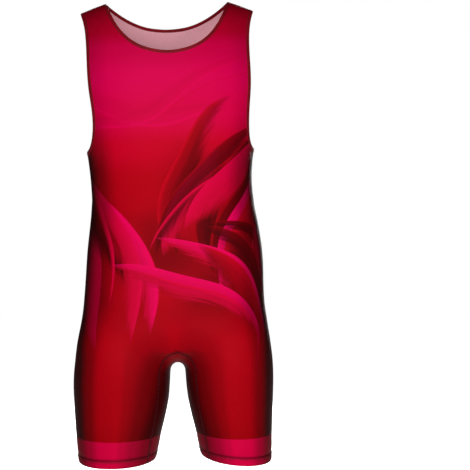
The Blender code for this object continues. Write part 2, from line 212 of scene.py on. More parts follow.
paper, tree = newMaterial("studioPaper")  # matt pale paper
place = addNode(tree, "TexCoord", out="Object")
mottle = addNode(tree, "TexNoise", {"Vector": place, "Scale": 0.7})
tone = addNode(tree, "ValToRGB", {"Fac": mottle}, stops=[(0.3, "F3F3F3"), (0.7, "F5F5F5")])
seen = addNode(tree, "LightPath", out="Is Camera Ray")
glow = addNode(tree, "Math", {0: seen, 1: studio["floorWhite"]}, operation="MULTIPLY")
shader = addNode(tree, "BsdfPrincipled", {
    "Base Color": tone, "Roughness": 0.9, "Specular IOR Level": 0.1,
    "Emission Color": (1, 1, 1, 1), "Emission Strength": glow})
addNode(tree, "OutputMaterial", {"Surface": shader})
floor.data.materials.append(paper)


# the garment's outer surface, from copies of the frame's walls

garment = {
    "wall": 0.0013,
    "sew": 0.0005,            # seam gaps up to this wide are closed before smoothing
    "levels": 2,
    "lean": math.radians(1.15),
    "tuck": 0.0011,           # how far the neck and armhole edges reach on into their bindings
    "pinch": 0.0003,          # how deep the seams draw the cloth in, and over what width
    "pinchWidth": 0.0024,
    "gussetTop": -0.6835,
    "hips": -0.573, "chest": -0.2, "middleShare": 0.6,
    "hemsBelow": -0.8, "bindingsAbove": -0.4,
    "betweenLegs": 0.02,      # x of the line that parts the legs, because they lean
    "smoothAngle": 0.9,
}
clothNodes = ["front_panel", "upper_back", "lower_back", "inner_leg_gusset", "left_leg_band",
              "right_leg_band", "left_inner_band", "right_inner_band"]


def copyOf(node):
    thing = bpy.data.objects.new(node + "Copy", frame["nodes"][node].data.copy())
    bpy.context.scene.collection.objects.link(thing)
    thing.data.materials.clear()
    makeActive(thing)
    bpy.ops.object.mode_set(mode="EDIT")
    bpy.ops.mesh.select_all(action="SELECT")
    bpy.ops.mesh.remove_doubles(threshold=1e-5)
    bpy.ops.object.mode_set(mode="OBJECT")
    return thing


def joinQuads(thing):
    makeActive(thing)
    bpy.ops.object.mode_set(mode="EDIT")
    bpy.ops.mesh.select_all(action="SELECT")
    bpy.ops.mesh.tris_convert_to_quads(face_threshold=math.pi, shape_threshold=math.pi,
                                       topology_influence=1.0)
    bpy.ops.object.mode_set(mode="OBJECT")


def surfaceOf(spots, mesh):
    corners = [tuple(face.vertices) for face in mesh.polygons]
    return BVHTree.FromPolygons([Vector(spot) for spot in spots], corners)


def deleteFaces(thing, unwanted):
    makeActive(thing)
    bpy.ops.object.mode_set(mode="EDIT")
    bpy.ops.mesh.select_mode(type="FACE")
    bpy.ops.mesh.select_all(action="DESELECT")
    bpy.ops.object.mode_set(mode="OBJECT")
    thing.data.polygons.foreach_set("select", unwanted)
    bpy.ops.object.mode_set(mode="EDIT")
    bpy.ops.mesh.delete(type="FACE")
    bpy.ops.object.mode_set(mode="OBJECT")


legAxes = {side: sum(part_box(side + "_leg_band"), Vector()) / 2 for side in ("left", "right")}


def insideNear(point):
    # a point on the hollow's own middle line, about level with the given one; in the torso that
    # line is as wide as a share of it
    if point.z > garment["gussetTop"]:
        level = min(max(point.z, garment["hips"]), garment["chest"])
        return Vector((garment["middleShare"] * point.x, 0, level))
    axis = legAxes["left" if point.x < garment["betweenLegs"] else "right"]
    return Vector((axis.x, 0, point.z))


def treeOf(spots):
    tree = KDTree(len(spots))
    for k, spot in enumerate(spots):
        tree.insert(spot, k)
    tree.balance()
    return tree


def outerSkin(node, number):
    # a wall's corners lie in pairs, one wall apart; the outer ones are farther from the middle line
    skin = copyOf(node)
    spots = [vertex.co.copy() for vertex in skin.data.vertices]
    tree = treeOf(spots)
    wall = garment["wall"]
    outside = []
    for spot in spots:
        near = tree.find_range(spot, wall * 1.2)
        partner = min(near, key=lambda found: abs(found[2] - wall))[0]
        outside.append((spot - partner).dot(spot - insideNear(spot)) > 0)
    deleteFaces(skin, [not all(outside[v] for v in face.vertices) for face in skin.data.polygons])
    print("skin", node, len(skin.data.polygons), "outer corners", sum(outside), "of", len(outside))
    joinQuads(skin)
    numbers = [number] * len(skin.data.polygons)
    skin.data.attributes.new("piece", "INT", "FACE").data.foreach_set("value", numbers)
    return skin


skins = [outerSkin(node, number) for number, node in enumerate(clothNodes)]
deselectAll()
for skin in skins:
    skin.select_set(True)
bpy.context.view_layer.objects.active = skins[0]
bpy.ops.object.join()
body = skins[0]
body.name = "sewnBody"
bpy.ops.object.mode_set(mode="EDIT")
bpy.ops.mesh.select_all(action="SELECT")
bpy.ops.mesh.remove_doubles(threshold=garment["sew"])
bpy.ops.object.mode_set(mode="OBJECT")
applyModifier(body, "SUBSURF", levels=garment["levels"], render_levels=garment["levels"])
print("sewn body", len(body.data.polygons), "faces")


# the print's layout: how far across from the middle line, and how high, measured on the cloth

bodyRings = {  # metres, plumb
    "height": (-0.868, -0.757, -0.708, -0.641, -0.573, -0.496, -0.419, -0.342, -0.275, -0.160,
               0.010),
    "half": (0.186, 0.192, 0.193, 0.186, 0.174, 0.170, 0.161, 0.153, 0.160, 0.177, 0.176),
    "middle": (-0.001, -0.002, -0.001, 0.001, 0.003, 0.006, 0.0065, 0.003, 0.003, 0.004, 0.0015),
    "front": (0.087, 0.101, 0.107, 0.114, 0.110, 0.105, 0.101, 0.107, 0.114, 0.111, 0.092),
    "back": (0.089, 0.103, 0.110, 0.123, 0.123, 0.108, 0.092, 0.097, 0.107, 0.108, 0.092),
    "gap": (0.043, 0.018, 0.014, 0.0136, 0.0136, 0.0136, 0.0136, 0.0136, 0.0136, 0.0136, 0.0136),
}
layout = {
    "backOffset": 1.0,        # the back's layout lies this far beside the front's
    "aroundTorso": 0.82,      # a quarter of the torso's girth, over its half width plus its depth
    "hipBlend": 0.12,         # the torso's layout turns into the legs' over this height
    "outerShift": 0.14,       # the outer thigh's shade starts this share of a quarter turn early
    # the crotch keys lessen the painted shade between the legs in the middle of the crotch
    "crotchWidth": 0.024, "crotchFoot": -0.70, "crotchBlend": 0.03, "crotchLight": 0.8,
}


def ring(name, height):
    return np.interp(height, bodyRings["height"], bodyRings[name])


def layoutOf(points):
    lean = garment["lean"]
    quarter = math.pi / 2
    x = points[:, 0] * math.cos(lean) + points[:, 2] * math.sin(lean)
    z = points[:, 2] * math.cos(lean) - points[:, 0] * math.sin(lean)
    y = points[:, 1]
    depth = np.where(y < 0, ring("front", z), ring("back", z))
    across = x - ring("middle", z)
    half = ring("half", z)
    turn = np.arctan2(np.abs(across) / half, np.abs(y) / depth)  # from the middle to the side
    torso = np.sign(across) * turn / quarter * (half + depth) * layout["aroundTorso"]
    legHalf = (half - ring("gap", z)) / 2
    legMiddle = (half + ring("gap", z)) / 2
    legTurn = np.arctan2((np.abs(across) - legMiddle) / legHalf, np.abs(y) / depth)
    leg = np.sign(across) * (legMiddle + legTurn * (legHalf + depth) / 2)
    split = smooth((garment["hips"] - z) / layout["hipBlend"])
    s = torso + (leg - torso) * split
    # outer and inner mask the darkening: outer towards the sides, partly a dark print and partly
    # painted shade; inner is painted shade between the legs
    outer = turn / quarter * (1 - split)
    outer += np.clip(legTurn / quarter + layout["outerShift"], 0, 1) * split
    crotch = np.exp(-(across / layout["crotchWidth"]) ** 2)
    crotch *= smooth((z - layout["crotchFoot"]) / layout["crotchBlend"])
    inner = np.clip(-legTurn / quarter, 0, 1) * split * (1 - layout["crotchLight"] * crotch)
    return s, z, outer, inner, y > 0


# soft creases, in mm: how wide and deep each is, and where it runs on the layout

creases = {
    "underSeatLeft": {"back": True, "width": 9, "depth": -2.2,
                      "path": [(-60, -668), (-120, -660), (-185, -640)]},
    "underSeatLeftLow": {"back": True, "width": 8, "depth": -1.5,
                         "path": [(-72, -690), (-130, -684), (-176, -668)]},
    "underSeatRight": {"back": True, "width": 9, "depth": -2.0,
                       "path": [(52, -664), (104, -662), (176, -648)]},
    "underSeatRightLow": {"back": True, "width": 8, "depth": -1.3,
                          "path": [(70, -696), (132, -700), (190, -690)]},
    "seatRidgeLeft": {"back": True, "width": 8, "depth": 1.2,
                      "path": [(-66, -679), (-128, -671), (-180, -655)]},
    "seatRidgeRight": {"back": True, "width": 8, "depth": 1.0,
                       "path": [(62, -680), (122, -681), (182, -668)]},
    "thighBackLeft": {"back": True, "width": 10, "depth": -1.1,
                      "path": [(-90, -742), (-132, -752), (-168, -748)]},
    "waistBackLow": {"back": True, "width": 13, "depth": -1.2,
                     "path": [(-96, -418), (-10, -428), (88, -414)]},
    "waistBackHigh": {"back": True, "width": 12, "depth": -0.8,
                      "path": [(-120, -384), (-40, -391), (40, -390)]},
    "waistSideRight": {"back": False, "width": 10, "depth": -0.9,
                       "path": [(150, -395), (196, -388), (236, -392)]},
    "waistSideLeft": {"back": False, "width": 10, "depth": -0.8,
                      "path": [(-152, -372), (-200, -366), (-240, -372)]},
    "crotchValley": {"back": False, "width": 11, "depth": -1.6,
                     "path": [(7, -660), (6, -636), (4, -598)]},
    "crotchPullLeft": {"back": False, "width": 10, "depth": -0.8,
                       "path": [(-14, -652), (-64, -634), (-118, -610)]},
    "crotchPullRight": {"back": False, "width": 10, "depth": -0.7,
                        "path": [(26, -652), (70, -636), (112, -620)]},
    "armPullLeft": {"back": False, "width": 10, "depth": -0.7,
                    "path": [(-196, -262), (-166, -292), (-120, -312)]},
    "armPullRight": {"back": False, "width": 10, "depth": -0.7,
                     "path": [(200, -262), (168, -296), (130, -322)]},
}


def distanceTo(path, s, z):
    # distance to the path and how far along it, from 0 to 1
    path = np.array(path, float) / 1000
    best = np.full(len(s), 9.0)
    along = np.zeros(len(s))
    steps = np.hypot(*np.diff(path, axis=0).T)
    total = steps.sum()
    for k, (a, b) in enumerate(zip(path, path[1:])):
        t = np.clip(((s - a[0]) * (b - a)[0] + (z - a[1]) * (b - a)[1]) / steps[k] ** 2, 0, 1)
        gap = np.hypot(s - a[0] - t * (b - a)[0], z - a[1] - t * (b - a)[1])
        near = gap < best
        best[near] = gap[near]
        along[near] = (steps[:k].sum() + t[near] * steps[k]) / total
    return best, along


points = asArray(body.data, "co")
normals = asArray(body.data, "normal")
s, z, outer, inner, onBack = layoutOf(points)
push = np.zeros(len(points))
for crease in creases.values():
    gap, along = distanceTo(crease["path"], s, z)
    strength = np.exp(-(gap / (crease["width"] / 1000)) ** 2)
    strength *= np.sin(math.pi * (0.08 + 0.84 * along))  # it dies away at both ends
    push += strength * crease["depth"] / 1000 * (onBack == crease["back"])
print("creases", len(creases))


def chainsOf(edges):
    # ordered runs of vertex numbers along a set of edges
    ends = {}
    for a, b in edges:
        ends.setdefault(a, []).append(b)
        ends.setdefault(b, []).append(a)
    chains = []
    while ends:
        start = next((v for v in ends if len(ends[v]) == 1), next(iter(ends)))
        chain = [start]
        while ends.get(chain[-1]):
            here = chain[-1]
            following = ends[here].pop()
            ends[following].remove(here)
            chain.append(following)
        for v in chain:
            if v in ends and not ends[v]:
                del ends[v]
        chains.append(chain)
    return chains


faceOf = {}  # the pieces on each side of each edge
which = np.empty(len(body.data.polygons), int)
body.data.attributes["piece"].data.foreach_get("value", which)
for face, piece in zip(body.data.polygons, which):
    for key in face.edge_keys:
        faceOf.setdefault(key, []).append(clothNodes[piece])


def seamBetween(ones, others):
    return chainsOf([key for key, sides in faceOf.items() if len(sides) == 2 and (
        sides[0] in ones and sides[1] in others or sides[1] in ones and sides[0] in others)])


middlePieces = ("inner_leg_gusset", "left_inner_band", "right_inner_band")
outerPieces = ("front_panel", "lower_back", "left_leg_band", "right_leg_band")
seams = {
    "gusset": (seamBetween(middlePieces, outerPieces[:2])
               + seamBetween(middlePieces[1:], outerPieces[2:])),
    "side": seamBetween(("front_panel",), ("lower_back",)),
    "chest": seamBetween(("upper_back",), ("lower_back",)),
    "shoulder": seamBetween(("front_panel",), ("upper_back",)),
}
rims = chainsOf([key for key, sides in faceOf.items() if len(sides) == 1])
hemLoops = [rim for rim in rims if points[rim[0]][2] < garment["hemsBelow"]]
boundRims = [rim for rim in rims if points[rim[0]][2] > garment["bindingsAbove"]]
print("seams", {name: [len(chain) for chain in chains] for name, chains in seams.items()},
      "rims", [len(rim) for rim in rims])


def distanceFrom(chains):
    spots = [Vector(points[v]) for chain in chains for v in chain]
    for chain in chains:
        spots += [(Vector(points[a]) + Vector(points[b])) / 2 for a, b in zip(chain, chain[1:])]
    tree = treeOf(spots)
    return np.array([tree.find(point)[2] for point in points])


hemStitch = {"rise": 0.016, "apart": 0.0030}
rise = distanceFrom(hemLoops)
fromSeam = distanceFrom([chain for chains in seams.values() for chain in chains])
# hemShade and drawn mask painted shade along the hem's stitch line and along the seams; drawn also
# sets how far the seams draw the cloth in
hemShade = np.exp(-((rise - hemStitch["rise"]) / garment["pinchWidth"]) ** 2)
drawn = np.exp(-(fromSeam / garment["pinchWidth"]) ** 2)
seamShade = np.maximum(hemShade, drawn)
push -= garment["pinch"] * drawn
points += normals * push[:, None]
sewnPoints = points.copy()
beside = {v: [] for rim in boundRims for v in rim}
for a, b in faceOf:
    if (a in beside) != (b in beside):
        beside[a if a in beside else b].append(b if a in beside else a)
for rim in boundRims:
    for k, v in enumerate(rim[:-1]):
        along = Vector(sewnPoints[rim[k + 1]] - sewnPoints[rim[k - 1 if k else -2]]).normalized()
        outwards = Vector()
        if beside[v]:
            outwards = Vector(sewnPoints[v] - sewnPoints[beside[v]].mean(axis=0))
        points[v] += (outwards - along * outwards.dot(along)).normalized() * garment["tuck"]
body.data.vertices.foreach_set("co", points.ravel())
across = s + np.where(onBack, layout["backOffset"], 0)
for name, values in (("printAcross", across), ("printHeight", z), ("outerTurn", outer),
                     ("innerTurn", inner), ("seamShade", seamShade)):
    body.data.attributes.new(name, "FLOAT", "POINT").data.foreach_set("value", values)
body.data.update()


# materials

knit = {"wale": 0.0014, "course": 0.0018, "ribDepth": 0.0003}


def fabricBump(tree, across, height, strength):
    # ribs of the knit, drawn about three times as coarse as they are, so that they show at all
    x = addNode(tree, "Math", {0: across, 1: 1 / knit["wale"]}, operation="MULTIPLY")
    y = addNode(tree, "Math", {0: height, 1: 1 / knit["course"]}, operation="MULTIPLY")
    ribs = addNode(tree, "CombineXYZ", {0: x, 1: y})
    wave = addNode(tree, "TexWave", {"Vector": ribs, "Scale": 0.314, "Distortion": 1.2,
                                     "Detail": 1.0, "Detail Scale": 0.8}, "Fac", wave_type="BANDS")
    grain = addNode(tree, "TexNoise", {"Vector": ribs, "Scale": 0.9, "Detail": 2.0})
    both = addNode(tree, "Math", {0: wave, 1: 0.6, 2: grain}, operation="MULTIPLY_ADD")
    bump = addNode(tree, "Bump", {"Height": both, "Strength": strength,
                                  "Distance": knit["ribDepth"]})
    return bump, grain


frontFade = [  # the dye from the hems up to the straps, by the share of the height
    (0.04, "920008"), (0.12, "9C000C"), (0.28, "A60010"), (0.40, "AC0014"), (0.52, "A20010"),
    (0.62, "A80012"), (0.69, "BA0020"), (0.76, "C8003E"), (0.84, "CA0048"), (0.90, "BC003E"),
    (0.94, "A60024"), (1.0, "940018"),
]
backFade = [
    (0.04, "780006"), (0.12, "80000A"), (0.22, "88000A"), (0.30, "96000C"), (0.42, "A60010"),
    (0.52, "AE0014"), (0.60, "BC0028"), (0.70, "C6003E"), (0.84, "C4003C"), (0.92, "B80030"),
    (1.0, "9A001C"),
]
# side is the tone of the darkening towards the sides, partly a dark print and partly painted shade,
# and of the painted shade between the legs; seam is the tone of the painted shade along the seams
# and the hem's stitch line; cloud is a dark tone of the print
shades = {"side": "240304", "cloud": "6E0006", "seam": "2E0206"}


def edgeShade(tree, height, outerTurn, innerTurn):
    # how much the colour darkens, from 0 to 1: towards the sides it is partly a dark print and
    # partly painted shade, and between the legs it is painted shade, widened low on the legs
    level = addNode(tree, "MapRange", {"Value": height, "From Min": -0.87, "From Max": 0.0})
    sides = addNode(tree, "ValToRGB", {"Fac": outerTurn},
                    stops=[(0.40, 0.0), (0.58, 0.5), (0.80, 0.95)])
    high = addNode(tree, "ValToRGB", {"Fac": level}, stops=[(0.64, 1.0), (0.8, 0.3)])
    sides = addNode(tree, "Math", {0: sides, 1: high}, operation="MULTIPLY")
    widened = addNode(tree, "MapRange", {"Value": level, "From Min": 0.05, "From Max": 0.22,
                                         "To Min": 1.7, "To Max": 1.0})
    between = addNode(tree, "Math", {0: innerTurn, 1: widened}, operation="MULTIPLY")
    between = addNode(tree, "ValToRGB", {"Fac": between},
                      stops=[(0.0, 0.0), (0.15, 0.25), (0.45, 0.6), (0.85, 0.9)])
    return addNode(tree, "Math", {0: sides, 1: between}, operation="MAXIMUM"), level


brush = {"hairs": 210.0, "hairStretch": 9.0, "crispEdge": 0.0012, "fadingEnds": 0.4}


def addStroke(tree, spot, under, stroke):
    # a brush stroke along an arc: crisp on the outside of the bend, streaked and fading inwards
    x, y = stroke["start"]
    heading = math.radians(stroke["heading"])
    left = 1 if stroke["radius"] > 0 else -1
    radius = abs(stroke["radius"])
    centre = (x - left * radius * math.sin(heading), y + left * radius * math.cos(heading), 0)
    half = stroke["length"] / radius / 2
    middle = math.atan2(y - centre[1], x - centre[0]) + left * half
    offset = addNode(tree, "VectorMath", {0: spot, 1: centre}, operation="SUBTRACT")
    reach = addNode(tree, "VectorMath", {0: offset}, "Value", operation="LENGTH")
    turned = addNode(tree, "VectorRotate", {"Vector": offset, "Angle": -middle},
                     rotation_type="Z_AXIS")
    parts = addNode(tree, "SeparateXYZ", {0: turned}).node.outputs
    angle = addNode(tree, "Math", {0: parts[1], 1: parts[0]}, operation="ARCTAN2")
    share = addNode(tree, "Math", {0: angle, 1: left / half}, operation="MULTIPLY")
    square = addNode(tree, "Math", {0: share, 1: share}, operation="MULTIPLY")
    taper = addNode(tree, "Math", {0: 1.0, 1: square}, operation="SUBTRACT", use_clamp=True)
    width = addNode(tree, "Math", {0: taper, 1: stroke["width"], 2: 1e-5}, operation="MULTIPLY_ADD")
    inwards = addNode(tree, "Math", {0: radius, 1: reach}, operation="SUBTRACT")
    depth = addNode(tree, "Math", {0: inwards, 1: width}, operation="DIVIDE")
    acrossHairs = addNode(tree, "Math", {0: reach, 1: brush["hairs"]}, operation="MULTIPLY")
    alongHairs = addNode(tree, "Math", {0: angle, 1: brush["hairStretch"] * radius},
                         operation="MULTIPLY")
    ownNoise = x * 7 + y * 3  # a place in the noise for each stroke
    streaks = addNode(tree, "CombineXYZ", {0: acrossHairs, 1: alongHairs, 2: ownNoise})
    hair = addNode(tree, "TexNoise", {"Vector": streaks, "Scale": 1.0, "Detail": 3.0,
                                      "Roughness": 0.5})
    hair = addNode(tree, "Math", {0: hair, 1: 0.5}, operation="SUBTRACT")
    hair = addNode(tree, "Math", {0: hair, 1: depth}, operation="MULTIPLY")
    ruffled = addNode(tree, "Math", {0: hair, 1: stroke["ruffle"], 2: depth},
                      operation="MULTIPLY_ADD")
    cover = addNode(tree, "MapRange", {"Value": ruffled, "From Min": stroke["solid"], "To Min": 1.0,
                                       "To Max": 0.0}, interpolation_type="SMOOTHSTEP")
    crisp = addNode(tree, "MapRange", {"Value": inwards, "From Max": brush["crispEdge"]})
    ends = addNode(tree, "MapRange", {"Value": taper, "From Max": brush["fadingEnds"],
                                      "To Max": stroke["cover"]})
    cover = addNode(tree, "Math", {0: cover, 1: crisp}, operation="MULTIPLY")
    cover = addNode(tree, "Math", {0: cover, 1: ends}, operation="MULTIPLY")
    colour = addNode(tree, "ValToRGB", {"Fac": ruffled}, stops=stroke["tones"])
    return addNode(tree, "Mix", {"Factor": cover, 6: under, 7: colour}, 2, data_type="RGBA")


strokeTones = {
    "glow": [(0.0, "DE0052"), (0.3, "D00048"), (0.6, "B8002C"), (1.0, "8C0010")],
    "rose": [(0.0, "CC003A"), (0.3, "C00030"), (0.7, "A6001A"), (1.0, "8C000C")],
    "ember": [(0.0, "B80018"), (0.25, "980010"), (0.6, "780008"), (1.0, "5A0004")],
    "shadow": [(0.0, "96000E"), (0.12, "600006"), (0.5, "420104"), (1.0, "580005")],
    "line": [(0.0, "CE0034"), (0.6, "C20030"), (1.0, "B00024")],
    "veil": [(0.0, "D80050"), (0.2, "C60040"), (0.6, "BC0038"), (1.0, "B80034")],
}
# a plume is a fan of brush strokes from one root: metres and degrees on the layout, a positive
# radius bends to the left, fan is the turn from its first stroke to its last and shift is their
# distance
frontPlumes = [
    {"start": (-0.20, -0.19), "heading": -14, "radius": 0.50, "length": 0.42, "width": 0.045,
     "fan": 30, "shift": -0.08, "cover": 0.55,
     "tones": ("veil", "line", "veil")},
    {"start": (-0.20, -0.63), "heading": 66, "radius": 0.42, "length": 0.44, "width": 0.10,
     "fan": 30, "shift": -0.10, "cover": 0.9,
     "tones": ("shadow", "ember", "shadow", "rose")},
    {"start": (-0.03, -0.47), "heading": 96, "radius": -0.24, "length": 0.34, "width": 0.08,
     "fan": -52, "shift": 0.06, "cover": 0.85,
     "tones": ("shadow", "ember", "rose", "shadow", "line")},
    {"start": (0.24, -0.27), "heading": 194, "radius": 0.25, "length": 0.42, "width": 0.10,
     "fan": 36, "shift": 0.08, "cover": 0.95,
     "tones": ("shadow", "rose", "shadow", "glow", "ember", "line")},
    {"start": (-0.25, -0.30), "heading": -16, "radius": -0.27, "length": 0.42, "width": 0.085,
     "fan": -44, "shift": 0.09, "cover": 0.95,
     "tones": ("shadow", "ember", "glow", "shadow", "rose", "line")},
    {"start": (0.17, -0.655), "heading": 80, "radius": 0.20, "length": 0.36, "width": 0.075,
     "fan": 66, "shift": 0.05, "cover": 0.95,
     "tones": ("shadow", "rose", "shadow", "glow", "ember", "glow", "line")},
]
backPlumes = [
    {"start": (0.80, -0.22), "heading": -6, "radius": 0.50, "length": 0.40, "width": 0.04,
     "fan": 20, "shift": -0.06, "cover": 0.5,
     "tones": ("veil", "line")},
    {"start": (1.235, -0.36), "heading": 198, "radius": 0.30, "length": 0.44, "width": 0.085,
     "fan": 34, "shift": 0.07, "cover": 0.95,
     "tones": ("shadow", "rose", "shadow", "ember", "line")},
    {"start": (0.78, -0.63), "heading": 72, "radius": -0.24, "length": 0.34, "width": 0.075,
     "fan": -54, "shift": 0.05, "cover": 0.95,
     "tones": ("shadow", "rose", "shadow", "glow", "line")},
]


def strokesOf(plume):
    # the plume's strokes, no two alike: each one's swing changes its heading, length and width
    last = len(plume["tones"]) - 1
    heading = math.radians(plume["heading"])
    for k, tones in enumerate(plume["tones"]):
        t = k / last - 0.5
        x = plume["start"][0] - math.sin(heading) * plume["shift"] * t
        y = plume["start"][1] + math.cos(heading) * plume["shift"] * t
        swing = math.sin(2.4 * k + 9 * plume["start"][0])
        thin = 0.16 if tones == "line" else 1.0
        yield {"start": (x, y), "cover": plume["cover"], "tones": strokeTones[tones],
               "heading": plume["heading"] + plume["fan"] * t + 5 * swing,
               "radius": plume["radius"] * (1 + 0.45 * t),
               "length": plume["length"] * (0.88 + 0.16 * swing),
               "width": plume["width"] * thin * (0.85 - 0.25 * swing),
               "ruffle": 0.5 if tones == "line" else 1.1,
               "solid": 0.55 if tones == "glow" else 0.4}


def knitMaterial(name, plumes, palette):
    # polyester and elastane jersey, dyed by transfer: matt satin with a faint rib; its colours are
    # a fade by height for a printed piece, or a plain one's two tones and the tone of its painted
    # shade. Towards the sides the colour darkens, partly a dark print and partly painted shade;
    # between the legs and along the seams it darkens with painted shade
    made, tree = newMaterial(name)
    across = addNode(tree, "Attribute", out="Fac", attribute_name="printAcross")
    height = addNode(tree, "Attribute", out="Fac", attribute_name="printHeight")
    normal, grain = fabricBump(tree, across, height, 0.35)
    outerTurn = addNode(tree, "Attribute", out="Fac", attribute_name="outerTurn")
    innerTurn = addNode(tree, "Attribute", out="Fac", attribute_name="innerTurn")
    edges, level = edgeShade(tree, height, outerTurn, innerTurn)
    spot = addNode(tree, "CombineXYZ", {0: across, 1: height})
    shade = shades["side"]
    if len(palette) > 3:
        colour = addNode(tree, "ValToRGB", {"Fac": level}, stops=palette)
        cloud = addNode(tree, "TexNoise", {"Vector": spot, "Scale": 7.0, "Detail": 1.0})
        cloud = addNode(tree, "ValToRGB", {"Fac": cloud}, stops=[(0.36, 0.0), (0.66, 0.85)])
        zone = addNode(tree, "ValToRGB", {"Fac": level},
                       stops=[(0.26, 0.0), (0.4, 1.0), (0.6, 1.0), (0.74, 0.0)])
        cloud = addNode(tree, "Math", {0: cloud, 1: zone}, operation="MULTIPLY")
        cloudy = (*linear(shades["cloud"]), 1)
        colour = addNode(tree, "Mix", {"Factor": cloud, 6: colour, 7: cloudy}, 2, data_type="RGBA")
        drift = addNode(tree, "TexNoise", {"Vector": spot, "Scale": 5.0, "Detail": 0.0}, "Color")
        bend = addNode(tree, "VectorMath", {0: drift, 1: (0.5, 0.5, 0.5)}, operation="SUBTRACT")
        wavy = addNode(tree, "VectorMath", {0: bend, 1: (0.09, 0.09, 0.0), 2: spot},
                       operation="MULTIPLY_ADD")
        for plume in plumes:
            for stroke in strokesOf(plume):
                colour = addStroke(tree, wavy, colour, stroke)
    else:
        cloud = addNode(tree, "TexNoise", {"Vector": spot, "Scale": 9.0})
        colour = addNode(tree, "ValToRGB", {"Fac": cloud}, stops=[(0.3, palette[0]), (0.7, palette[1])])
        shade = palette[2]
    # the darkening towards the sides, partly a dark print and partly painted shade, and the painted
    # shade between the legs
    colour = addNode(tree, "Mix", {"Factor": edges, 6: colour, 7: (*linear(shade), 1)}, 2,
                     data_type="RGBA")
    # painted shade along the seams' grooves and the hem's stitch line
    pinch = addNode(tree, "Attribute", out="Fac", attribute_name="seamShade")
    pinch = addNode(tree, "Math", {0: pinch, 1: 0.7}, operation="MULTIPLY")
    colour = addNode(tree, "Mix", {"Factor": pinch, 6: colour, 7: (*linear(shades["seam"]), 1)}, 2,
                     data_type="RGBA")
    speck = addNode(tree, "Math", {0: grain, 1: 0.16, 2: 0.92}, operation="MULTIPLY_ADD")
    colour = addNode(tree, "Mix", {"Factor": 1.0, 6: colour, 7: speck}, 2,
                     data_type="RGBA", blend_type="MULTIPLY")
    shader = addNode(tree, "BsdfPrincipled", {
        "Base Color": colour, "Roughness": 0.5, "Specular IOR Level": 0.025, "Normal": normal})
    addNode(tree, "OutputMaterial", {"Surface": shader})
    return made


def reverseMaterial(name):
    # the knit's unprinted reverse: white yarn with the print's pink coming through
    made, tree = newMaterial(name)
    across = addNode(tree, "Attribute", out="Fac", attribute_name="printAcross")
    height = addNode(tree, "Attribute", out="Fac", attribute_name="printHeight")
    normal, grain = fabricBump(tree, across, height, 0.4)
    colour = addNode(tree, "ValToRGB", {"Fac": grain}, stops=[(0.3, "DE9AA6"), (0.7, "ECB0BA")])
    shader = addNode(tree, "BsdfPrincipled", {"Base Color": colour, "Roughness": 0.7,
                                              "Specular IOR Level": 0.2, "Normal": normal})
    addNode(tree, "OutputMaterial", {"Surface": shader})
    return made


printedFront = knitMaterial("printedJerseyFront", frontPlumes, frontFade)
printedBack = knitMaterial("printedJerseyBack", backPlumes, backFade)
# the gusset has the front's fade, with painted shade between the legs that is darkest at the
# crotch's underside
dyedGusset = knitMaterial("dyedJerseyGusset", [], frontFade)
# the band's third tone is its painted shade towards its sides and between the legs
dyedBand = knitMaterial("dyedJerseyBand", [], ("C00036", "C8003C", "6C0616"))
reverse = reverseMaterial("jerseyReverse")
print("materials ready")


# the cloth pieces: each one is cut out of the sewn body and given its wall

pieces = {
    "front_panel": {"name": "frontPanelCloth", "look": printedFront, "slot": "stretch_knit_front",
                    "flat": (0.50, 0.79), "area": 0.292},
    "upper_back": {"name": "upperBackCloth", "look": printedBack, "slot": "stretch_knit_upper_back",
                   "flat": (0.36, 0.30), "area": 0.083},
    "lower_back": {"name": "lowerBackCloth", "look": printedBack, "slot": "stretch_knit_lower_back",
                   "flat": (0.50, 0.52), "area": 0.220},
    "inner_leg_gusset": {"name": "gussetCloth", "look": dyedGusset, "slot": "stretch_knit_gusset",
                         "flat": (0.14, 0.42), "area": 0.041},
    "left_leg_band": {"name": "leftBandCloth", "look": dyedBand, "slot": "leg_band_knit",
                      "flat": (0.42, 0.05), "area": 0.0185},
    "right_leg_band": {"name": "rightBandCloth", "look": dyedBand, "slot": "leg_band_knit",
                       "flat": (0.42, 0.05), "area": 0.0180},
    "left_inner_band": {"name": "leftInnerBandCloth", "look": dyedBand, "slot": "leg_band_knit",
                        "flat": (0.13, 0.05), "area": 0.0056},
    "right_inner_band": {"name": "rightInnerBandCloth", "look": dyedBand, "slot": "leg_band_knit",
                         "flat": (0.13, 0.05), "area": 0.0052},
}
made = {}
for number, node in enumerate(clothNodes):
    piece = pieces[node]
    thing = bpy.data.objects.new(piece["name"], body.data.copy())
    bpy.context.scene.collection.objects.link(thing)
    which = np.empty(len(thing.data.polygons), int)
    thing.data.attributes["piece"].data.foreach_get("value", which)
    deleteFaces(thing, which != number)
    thing.data.materials.append(piece["look"])
    thing.data.materials.append(reverse)
    area = sum(face.area for face in thing.data.polygons)
    applyModifier(thing, "SOLIDIFY", thickness=garment["wall"], offset=-1, use_quality_normals=True,
                  material_offset=1, material_offset_rim=0)
    bpy.ops.object.shade_smooth_by_angle(angle=garment["smoothAngle"])
    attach(thing, "root")
    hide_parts(node)
    made[node] = thing
    print("cut", piece["name"], "area", round(area, 4), "triangles", 2 * len(thing.data.polygons))


# bindings at the neck and armholes

bindings = {
    "neck_binding": {"name": "neckBindingCloth", "flat": (0.010, 0.66), "area": 0.0056},
    "left_armhole_binding": {"name": "leftArmholeBindingCloth",
                             "flat": (0.0105, 0.60), "area": 0.0060},
    "right_armhole_binding": {"name": "rightArmholeBindingCloth",
                              "flat": (0.0105, 0.60), "area": 0.0060},
}


